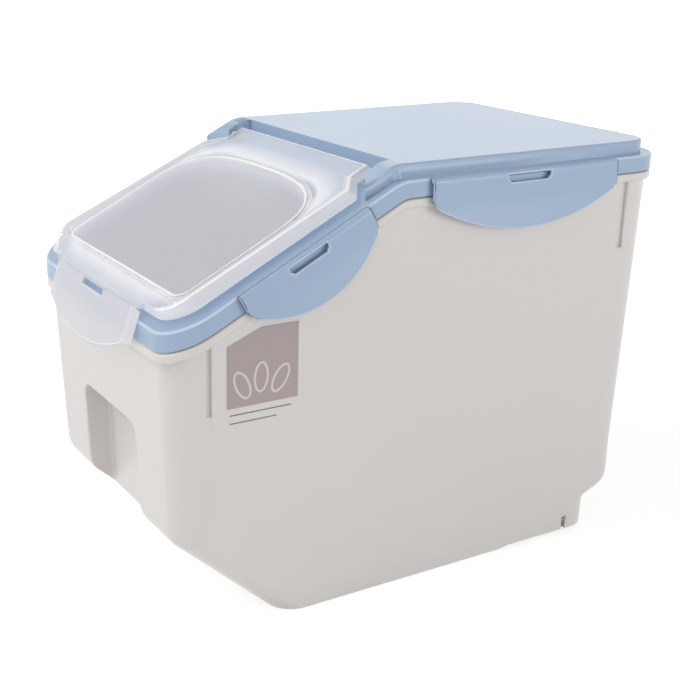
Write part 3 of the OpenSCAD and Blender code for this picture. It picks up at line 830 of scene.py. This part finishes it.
@dataclass
class SideLatch(BinPart):
    """One side latch: a thin moulded leaf that hangs from the flange's edge.

    Sizes are millimetres; across is measured out from the flange's edge and down
    from the latch's root line. The slot's rows run from its top edge to its lower
    one, and its ends start to slant at the third.
    """

    side: Side
    front: bool
    length: float
    depth: float
    end_depth: float
    slot_length: float
    wall: float = 2.2
    reach: float = 3.8
    reach_gain: float = 0.3
    flare: float = 1.8
    crease_share: float = 0.52
    crease_soft: float = 2.0
    corner: float = 5.0
    edge_radius: float = 0.75
    edge_deg: float = 50.0
    slot_rows: tuple[float, float, float, float] = (1.8, 3.4, 5.0, 6.5)
    slot_slant: float = 1.5
    low_rows: int = 14
    end_columns: int = 9
    middle_columns: int = 4
    corner_step_deg: int = 15
    ridge_radius: float = 0.25
    root: tuple[Pair, ...] = (
        (-0.4, 0.35), (0.1, 0.05), (1.4, 0.0), (2.3, 0.07), (3.0, 0.35), (3.5, 0.9),
    )
    ridge_section: tuple[Pair, ...] = ((0.3, 16.5), (2.2, 15.7), (2.2, 19.3), (0.3, 17.9))

    @classmethod
    def four(cls, *stock: object) -> "list[SideLatch]":
        """Sets out the two front and the two rear latches from what every part is made of."""
        sizes = {
            True: {"length": 89.0, "depth": 31.0, "end_depth": 13.0, "slot_length": 26.0},
            False: {"length": 137.0, "depth": 34.0, "end_depth": 16.0, "slot_length": 31.5},
        }
        return [cls(*stock, side, front, **sizes[front]) for side in Side for front in sizes]

    @property
    def spot(self) -> str:
        """Where the latch hangs, such as front_left."""
        return f"{'front' if self.front else 'rear'}_{self.side.name.lower()}"

    def across(self, down: float) -> float:
        """How far the face stands out from the flange's edge at a depth.

        Args:
            down: depth below the root line.

        Returns:
            A face that is almost upright to the crease, and flares out below it.
        """
        crease = self.crease_share * self.depth
        flared = 0.5 * (down - crease + math.hypot(down - crease, self.crease_soft))
        return self.reach + self.reach_gain * min(down / crease, 1.0) + (
            (self.flare - self.reach_gain / 3) * flared / (self.depth - crease)
        )

    def low_edge(self, along: float) -> float:
        """Depth of the curved lower edge.

        Args:
            along: distance from the latch's middle.

        Returns:
            The depth of one long arc, whose two ends turn up in small rounds.
        """
        sag = self.depth - self.end_depth
        radius = ((self.length / 2) ** 2 + sag**2) / (2 * sag)
        low = self.depth - radius + math.sqrt(radius**2 - along**2)
        past = max(abs(along) - (self.length / 2 - self.corner), 0.0)
        return low - self.corner + math.sqrt(max(self.corner**2 - past**2, 0.0))

    def place(self, across: float, along: float, down: float) -> Vector:
        """Finds a point of the latch in the shared frame.

        Args:
            across: distance out from the flange's edge.
            along: distance from the latch's middle.
            down: depth below the root line.

        Returns:
            The point, in metres.
        """
        x = self.side.value * (self.deck.half_width + across)
        if self.front:
            return self.deck.slope_point(x, self.deck.front_latch_s - along, -down)
        return self.deck.world(x, self.deck.rear_latch_y + along, self.deck.top_z - down)

    def columns(self) -> list[float]:
        """Distances along the latch at which the leaf's columns of faces meet.

        Returns:
            Marks from end to end, closer together at the slot's ends and the corners.
        """
        half, tip = self.length / 2, self.slot_length / 2
        inner = tip - 2 * self.slot_slant
        turns = [math.radians(a) for a in range(0, 91, self.corner_step_deg)]
        step = (half - self.corner - tip) / self.end_columns
        marks = [inner, tip - self.slot_slant, tip]
        marks += [half - self.corner * (1 - math.sin(turn)) for turn in turns]
        marks += [tip + step * i for i in range(1, self.end_columns)]
        marks += [inner * i / self.middle_columns for i in range(1, self.middle_columns)]
        return sorted([-m for m in marks] + [0.0] + marks)

    def leaf(self) -> Shape:
        """Shapes the leaf's outer face, with its slot cut out.

        Returns:
            One layer of faces that point outwards.
        """
        alongs = self.columns()
        straight = [*self.root, *((self.across(down), down) for down in self.slot_rows)]
        slot_low = self.slot_rows[-1]
        rows = len(straight) + self.low_rows
        shape = bmesh.new()
        bmesh.ops.create_grid(shape, x_segments=len(alongs) - 1, y_segments=rows - 1, size=0.5)
        for vert in shape.verts:
            along = alongs[round((vert.co.x + 0.5) * (len(alongs) - 1))]
            row = round((0.5 - vert.co.y) * (rows - 1))
            if row < len(straight):
                across, down = straight[row]
            else:
                part = (row - len(straight) + 1) / self.low_rows
                down = slot_low + (self.low_edge(along) - slot_low) * part
                across = self.across(down)
            vert.co = (across, along, down)
        self.cut_slot(shape)
        for vert in shape.verts:
            vert.co = self.place(*vert.co)
        bmesh.ops.recalc_face_normals(shape, faces=shape.faces)
        face = max(shape.faces, key=lambda f: abs(f.normal.x))
        if face.normal.x * self.side.value < 0:
            bmesh.ops.reverse_faces(shape, faces=shape.faces)
        return shape

    def cut_slot(self, shape: Shape) -> None:
        """Takes out the faces of the moulding slot, whose lower corners slant.

        Args:
            shape: the leaf, set out in across, along and down.
        """
        top, _, bend, low = self.slot_rows
        lean = 2 * self.slot_slant / (low - bend)
        gone = []
        for face in shape.faces:
            _, along, down = face.calc_center_median()
            half = self.slot_length / 2 - max(down - bend, 0.0) * lean
            if top < down < low and abs(along) < half:
                gone.append(face)
        bmesh.ops.delete(shape, geom=gone, context="FACES")

    def ridge(self) -> Shape:
        """Shapes the ridge inside the leaf that grips under the bin's rim.

        Returns:
            The closed ridge.
        """
        half = self.slot_length / 2
        shape = bmesh.new()
        shape.faces.new([shape.verts.new(self.place(a, -half, d)) for a, d in self.ridge_section])
        thicken(shape, self.place(0, half, 0) - self.place(0, -half, 0))
        Softening("ridge", self.ridge_radius, lambda c: True, segments=2).cut(shape, self.deck)
        return shape

    def build(self) -> None:
        """Makes the leaf and its ridge."""
        paints, body, name = self.palette, f"side_{self.spot}_latch", f"latch_{self.spot}"
        leaf = finish_piece(
            self.leaf(), f"{name}_leaf", body, [paints.lid, paints.lid_edge], name
        )
        wall = leaf.modifiers.new("wall", "SOLIDIFY")
        wall.thickness = self.wall * MM
        wall.offset = -1.0
        # The rounded edges take the second finish, the lid's paler painted highlight.
        edge = leaf.modifiers.new("edge", "BEVEL")
        edge.width = self.edge_radius * MM
        edge.segments = 3
        edge.material = Look.EDGE
        edge.limit_method = "ANGLE"
        edge.angle_limit = math.radians(self.edge_deg)
        edge.use_clamp_overlap = False
        weigh_normals(leaf)
        finish_piece(self.ridge(), f"{name}_ridge", body, [paints.lid])


# ---- the main lid ----


@dataclass
class MainLid(BinPart):
    """The blue lid: a bent deck with a flange, a skirt and a raised rear panel."""

    panel_radius: float = 1.6
    panel_turn: float = 20.0
    panel_low: float = 4.5
    flange_radius: float = 1.1
    skirt_radius: float = 0.5
    skirt_depth: float = 10.0
    notch_y: float = -24.5
    notch_half: float = 98.5

    def on_panel(self, c: Corner) -> bool:
        """Whether a corner is a top edge of the raised panel, apart from its notch."""
        in_notch = c.mid.y < self.notch_y and abs(c.mid.x) < self.notch_half
        return c.outer(self.panel_turn) and c.height > self.panel_low and not in_notch

    def on_rim(self, c: Corner, depth: float) -> bool:
        """Whether a corner runs round the flange's outside at a depth below the deck."""
        return c.outer() and near(c.height, -depth) and near(c.in_plan, 0.0)

    def build(self) -> None:
        """Makes the lid, with its raised panel, flange and skirt rounded."""
        shape = self.soft_copy(
            "lid_shell",
            Softening("raised panel", self.panel_radius, self.on_panel),
            # The flange's rounding takes the lid's paler painted highlight.
            Softening("flange", self.flange_radius, lambda c: self.on_rim(c, 0.0), look=Look.EDGE),
            Softening("skirt", self.skirt_radius, lambda c: self.on_rim(c, self.skirt_depth)),
        )
        paints = self.palette
        self.set_in(shape, "lid_shell", "lid", Slot.LID, paints.lid, paints.lid_edge)


# ---- the flip lid ----


@dataclass
class FlipLid(BinPart):
    """The clear flip lid: a satin rim that swells at the sides round a polished window.

    Heights are above the slope. The rim starts to swell above its lower height,
    and is at its full height after its climb.
    """

    top_h: float = 7.0
    window_h: float = 8.2
    edge_h: float = 3.4
    flat_by: float = 0.1
    level_by: float = 0.02
    level_dot: float = 0.99
    side_dot: float = 0.995
    wall: float = 2.2
    front_s: float = 149.0
    rear_s: float = 20.0
    bead_width: float = 1.1
    bead_drop: float = 0.45
    edge_turn: float = 20.0
    edge_radius: float = 1.0
    window_radius: float = 0.4
    low_radius: float = 0.5
    line_width: float = 0.8
    line_rise: float = 0.4
    line_sunk: float = 0.2
    rim_half: float = 89.5
    rim_width: float = 5.0
    rim_crest: float = 1.2
    rim_inset: float = 2.2
    rim_spread: float = 4.6
    rim_rise: float = 3.5
    rim_low: float = 3.5
    rim_climb: float = 1.1
    rim_corner: float = 17.0
    rim_front_s: float = 148.0
    rim_fade: Pair = (14.0, 46.0)

    def at(self, c: Corner, h: float) -> bool:
        """Whether a corner runs at a height above the slope."""
        return near(c.slope[1], h, self.flat_by)

    def flat(self, face: Face, least: float) -> bool:
        """Whether a face is parallel to the slope, by the least cosine for that."""
        return abs(face.normal.dot(self.deck.slope_up)) > least

    def level(self, face: Face, h: float) -> bool:
        """Whether a face lies flat on the slope at a height above the deck."""
        at = self.deck.down_slope(self.deck.local(face.calc_center_median()))[1]
        return near(at, h, self.level_by) and self.flat(face, self.level_dot)

    def swelling(self, p: Vector) -> float:
        """How far the rim swells at a point, from 0 to 1.

        Args:
            p: a local point.

        Returns:
            One on the crest, which dies away inwards, downwards and at its ends.
        """
        along, h = self.deck.down_slope(p)
        past_x = abs(p.x) - self.rim_half + self.rim_corner
        past_s = along - self.rim_front_s + self.rim_corner
        if past_x <= 0:
            return 0.0
        start, full = self.rim_fade
        reach = math.hypot(past_x, max(past_s, 0.0)) - self.rim_corner
        out = smooth((reach + self.rim_width) / (self.rim_width - self.rim_crest))
        rear = smooth((along - start) / (full - start))
        front = 1 - smooth(past_s / self.rim_corner)
        return out * rear * front * smooth((h - self.rim_low) / self.rim_climb)

    def swell_rim(self, shape: Shape) -> None:
        """Lifts the rim along both sides into a crest, so that the window lies in a dish.

        Args:
            shape: the lid, before its window is framed.
        """
        inset(shape, [f for f in shape.faces if self.level(f, self.top_h)], self.rim_inset)
        for vert in shape.verts:
            p = self.deck.local(vert.co)
            share = self.swelling(p) * MM
            aside = Vector((math.copysign(self.rim_spread * share, p.x), 0.0, 0.0))
            vert.co += aside + self.deck.slope_up * (self.rim_rise * share)

    def frame_window(self, shape: Shape) -> None:
        """Leaves a bead round the window, painted white as a highlight, and sinks its pane by a
        little.

        Args:
            shape: the lid.
        """
        pane = [f for f in shape.faces if self.level(f, self.window_h)]
        for face in inset(shape, pane, self.bead_width):
            face.material_index = Look.EDGE
        drop = self.deck.slope_up * -self.bead_drop * MM
        bmesh.ops.translate(shape, verts=list({v for f in pane for v in f.verts}), vec=drop)
        for face in shape.faces:
            if face in pane or self.level(face, self.window_h - self.wall):
                face.material_index = Look.PANE

    def mark_sides(self, shape: Shape) -> None:
        """Gives the sloping sides the denser look of a wall seen on edge.

        Args:
            shape: the lid.
        """
        for face in shape.faces:
            if face.material_index == Look.BODY and not self.flat(face, self.side_dot):
                face.material_index = Look.DENSE

    def seal_line(self) -> Shape:
        """Shapes the low moulded line that follows the seal's outer edge on top.

        Returns:
            The closed line.
        """
        shape, up = self.soft_copy("flip_gasket"), self.deck.slope_up
        tops = [f for f in shape.faces if f.normal.dot(up) > self.level_dot]
        others = [f for f in shape.faces if f not in tops]
        bmesh.ops.delete(shape, geom=others, context="FACES")
        band = inset(shape, tops, self.line_width)
        bmesh.ops.delete(shape, geom=tops, context="FACES")
        outer = self.joined(max(band, key=lambda f: abs(f.calc_center_median().x)))
        bmesh.ops.delete(shape, geom=[f for f in band if f not in outer], context="FACES")
        first = next(iter(shape.verts))
        now_h = self.deck.down_slope(self.deck.local(first.co))[1]
        sink, rise = self.top_h - self.line_sunk - now_h, self.line_sunk + self.line_rise
        bmesh.ops.translate(shape, verts=shape.verts, vec=up * sink * MM)
        thicken(shape, up * rise * MM)
        return shape

    @staticmethod
    def joined(first: Face) -> set[Face]:
        """Finds the faces that hang together with one.

        Args:
            first: the face to start from.

        Returns:
            Every face that it reaches across edges, and itself.
        """
        found, rim = {first}, {first}
        while rim:
            rim = {f for face in rim for e in face.edges for f in e.link_faces} - found
            found |= rim
        return found

    def build(self) -> None:
        """Makes the flip lid, with its rounded edges painted white as a highlight, and the line over
        its seal.
        """
        shape = self.soft_copy(
            "flip_lid",
            Softening("top edge, less its tongue", self.edge_radius, lambda c: (
                c.outer(self.edge_turn) and self.at(c, self.top_h) and c.slope[0] < self.front_s
            ), look=Look.EDGE),
            Softening("window", self.window_radius, lambda c: (
                c.outer() and self.at(c, self.window_h)
            ), look=Look.EDGE),
            Softening("lower edge", self.low_radius, lambda c: (
                c.outer() and self.at(c, self.edge_h) and c.slope[0] > self.rear_s
                and abs(c.run.x) < self.level_dot
            ), segments=2, look=Look.EDGE),
        )
        self.swell_rim(shape)
        self.frame_window(shape)
        self.mark_sides(shape)
        paints = self.palette
        # The second finish is the white painted highlight on the rounded edges and the bead.
        finishes = (paints.satin, paints.bright, paints.dense, paints.polished)
        self.set_in(shape, "flip_lid", "flip", Slot.CLEAR, *finishes)
        finish_piece(self.seal_line(), "flip_lid_seal_line", "flip", [paints.dense])


# ---- the front latch ----


@dataclass
class FrontLatch(BinPart):
    """The clear front latch, hinged on the flip lid's front edge."""

    lean_deg: float = 20.0
    hinge_out: float = 0.8
    hinge_h: float = 7.0
    face_radius: float = 0.6
    face_turn: float = 8.0
    face_by: float = 0.08
    slot_top_z: float = 188.0
    rim_depth: Pair = (0.05, 3.1)
    rim_dots: Pair = (0.05, 0.97)

    def behind(self, p: Vector) -> float:
        """Distance square to the front face, in millimetres, from it back to a point.

        Args:
            p: a local point.

        Returns:
            The distance, positive behind the face.
        """
        hinge_y = -self.deck.half_length - self.hinge_out
        (c, k), lean = self.deck.lean, math.radians(self.lean_deg)
        hinge_z = self.deck.top_z + ((hinge_y + self.deck.bend_y) * k + self.hinge_h) / c
        return (p.y - hinge_y) * math.cos(lean) + (hinge_z - p.z) * math.sin(lean)

    def face_edge(self, c: Corner) -> bool:
        """Whether a corner edges the front face or the lower side of its slot."""
        on_face = near(self.behind(c.mid), 0.0, self.face_by)
        return c.outer(self.face_turn) and on_face and c.mid.z < self.slot_top_z

    def build(self) -> None:
        """Makes the latch: a frosted face inside an edge painted white as a highlight, and a denser
        rim.
        """
        shape = self.soft_copy(
            "flip_latch", Softening("front face", self.face_radius, self.face_edge, look=Look.EDGE)
        )
        lean = math.radians(self.lean_deg)
        ahead = Vector((0.0, -math.cos(lean), math.sin(lean)))
        (shallow, deep), (edge_on, square_on) = self.rim_depth, self.rim_dots
        for face in shape.faces:
            mid = self.deck.local(face.calc_center_median())
            sloped = edge_on < abs(face.normal.dot(ahead)) < square_on
            if shallow < self.behind(mid) < deep and sloped and mid.z < self.slot_top_z:
                face.material_index = Look.DENSE
        paints = self.palette
        finishes = (paints.frosted, paints.bright, paints.dense)
        self.set_in(shape, "flip_latch", "front_latch", Slot.CLEAR, *finishes)


# ---- the bin ----


@dataclass
class Tub(BinPart):
    """The white tub: rim lip, drafted walls, grip pocket and raised rear foot."""

    wall_inset: float = 3.0
    lip_from: float = 10.0
    lip_low: float = 16.0
    lip_radius: float = 1.5
    lip_root_radius: float = 0.6
    base_radius: float = 1.5
    base_z: float = 0.1
    base_inset: float = 12.0
    base_half: float = 45.0
    base_front_y: float = -90.0
    base_rear_y: float = 50.0
    grip_half: float = 40.2
    grip_low: float = 3.0
    grip_top: float = 114.5
    grip_y: float = -130.0
    grip_back_radius: float = 2.0
    grip_mouth_radius: float = 1.2

    def in_grip(self, c: Corner) -> bool:
        """Whether a corner belongs to the grip pocket."""
        level = self.grip_low < c.mid.z < self.grip_top
        return abs(c.mid.x) < self.grip_half and level and c.mid.y < self.grip_y

    def at_side(self, c: Corner) -> bool:
        """Whether a corner runs along a side of the base, apart from its rear end."""
        near_side = c.in_plan < self.base_inset and abs(c.mid.x) > self.base_half
        return near_side and c.mid.y < self.base_rear_y

    def on_base(self, c: Corner) -> bool:
        """Whether a corner edges the front or a side of the face that the bin rests on."""
        ahead = c.mid.y < self.base_front_y
        return c.outer() and c.mid.z < self.base_z and (ahead or self.at_side(c))

    def build(self) -> None:
        """Makes the tub, with its lip, base and grip pocket rounded."""
        shape = self.soft_copy(
            "bin_tub",
            Softening("rim lip", self.lip_radius, lambda c: (
                c.outer() and near(c.in_plan, 0.0) and c.height < -self.lip_from
            )),
            Softening("lip root", self.lip_root_radius, lambda c: (
                c.inner() and near(c.in_plan, self.wall_inset) and near(c.height, -self.lip_low)
            )),
            Softening("base", self.base_radius, self.on_base),
            Softening("grip back", self.grip_back_radius, lambda c: c.inner() and self.in_grip(c)),
            Softening("grip mouth", self.grip_mouth_radius, lambda c: c.outer() and self.in_grip(c)),
        )
        self.set_in(shape, "bin_tub", "bin", Slot.TUB, self.palette.tub)


@dataclass
class Sticker(BinPart):
    """The label on the right wall: a plain block with a printed motif of grains.

    Two thin printed rules stand under the block. Sizes are millimetres; across runs
    to the rear and up along the drafted wall. A grain has half its width and half
    its height, and each is set by across, up and the degrees that it leans.
    """

    film: float = 0.3
    ink: float = 0.06
    line: float = 1.3
    grain: Pair = (4.6, 9.0)
    grain_sides: int = 40
    grains: tuple[Point, ...] = ((9.0, 12.5, -24.0), (20.5, 15.5, 4.0), (32.5, 13.0, 30.0))
    rules: tuple[Pair, ...] = ((-4.2, 38.0), (-9.0, 29.0))
    rule_height: float = 0.7
    rule_start: float = 1.5
    rule_sunk: float = 0.05

    def wall_turn(self) -> Matrix:
        """Matrix from the block's own millimetres to metres on the wall.

        Returns:
            The matrix: x to the rear, y up the wall and z out of it.
        """
        box = self.frame["nodes"]["label_panel"].data.vertices
        low, high = (Vector([pick(v.co[i] for v in box) for i in range(3)]) for pick in (min, max))
        lean = math.atan2(high.x - low.x - self.film * MM, high.z - low.z)
        up = Vector((math.sin(lean), 0.0, math.cos(lean)))
        out = Vector((math.cos(lean), 0.0, -math.sin(lean)))
        turn = Matrix((Vector((0.0, 1.0, 0.0)), up, out)).transposed().to_4x4()
        corner = Vector((low.x + self.film * MM, low.y, low.z))
        return Matrix.Translation(corner) @ turn @ Matrix.Scale(MM, 4)

    def print_shape(self, shape: Shape, name: str, z: float, ink: Material) -> None:
        """Gives a flat print the thickness of its ink and sets it on the wall.

        Args:
            shape: the flat print.
            name: the piece's name.
            z: the height of the face that takes the ink.
            ink: its material.
        """
        bmesh.ops.translate(shape, verts=shape.verts, vec=(0.0, 0.0, z))
        thicken(shape, Vector((0.0, 0.0, self.ink)))
        bmesh.ops.transform(shape, matrix=self.wall_turn(), verts=shape.verts)
        finish_piece(shape, name, "bin", [ink])

    def motif(self) -> Shape:
        """Draws the outlines of three grains.

        Returns:
            The flat print.
        """
        shape = bmesh.new()
        for across, up, lean in self.grains:
            turn = Matrix.Rotation(math.radians(-lean), 4, "Z")
            size = Matrix.Diagonal((*self.grain, 1.0, 1.0))
            bmesh.ops.create_circle(
                shape, cap_ends=True, segments=self.grain_sides, radius=1.0,
                matrix=Matrix.Translation((across, up, 0.0)) @ turn @ size,
            )
        discs = shape.faces[:]
        bmesh.ops.inset_individual(shape, faces=discs, thickness=self.line, use_even_offset=True)
        bmesh.ops.delete(shape, geom=discs, context="FACES")
        return shape

    def lines(self) -> Shape:
        """Draws the two rules under the block.

        Returns:
            The flat print.
        """
        shape = bmesh.new()
        for up, length in self.rules:
            place = Matrix.Translation((self.rule_start + length / 2, up, 0.0))
            size = Matrix.Diagonal((length / 2, self.rule_height / 2, 1.0, 1.0))
            bmesh.ops.create_grid(shape, x_segments=1, y_segments=1, size=1.0, matrix=place @ size)
        return shape

    def build(self) -> None:
        """Dresses the block and prints its motif and the rules."""
        paints = self.palette
        self.dress("label_panel", paints.film)
        self.print_shape(self.motif(), "label_grains", 0.0, paints.pale_ink)
        below = -self.film - self.rule_sunk
        self.print_shape(self.lines(), "label_rules", below, paints.dark_ink)


@dataclass
class RunningGear(BinPart):
    """The two wheels and the pins that they turn on."""

    def build(self) -> None:
        """Dresses the wheels and the pins."""
        for side in Side:
            self.dress(f"wheel_{side.name.lower()}", self.palette.wheel)
            self.dress(f"axle_pin_{side.name.lower()}", self.palette.pin)


@dataclass
class Seals(BinPart):
    """The gasket inside the lid and the one round the pour opening."""

    def build(self) -> None:
        """Dresses both gaskets."""
        for node in ("lid_gasket", "flip_gasket"):
            self.dress(node, self.palette.seal)


def main() -> None:
    """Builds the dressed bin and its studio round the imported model."""
    logging.basicConfig(level=logging.INFO, format="%(name)s: %(message)s")
    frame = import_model()
    ViewPoint().build()
    Studio().build()
    deck = Deck.of(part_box("lid_shell")[1][1])
    stock = (frame, deck, Palette.mix(deck))
    parts = [kind(*stock) for kind in (Tub, Sticker, RunningGear, MainLid, Seals)]
    parts += [*SideLatch.four(*stock), FlipLid(*stock), FrontLatch(*stock)]
    for part in parts:
        part.build()


if __name__ == "__main__":
    main()
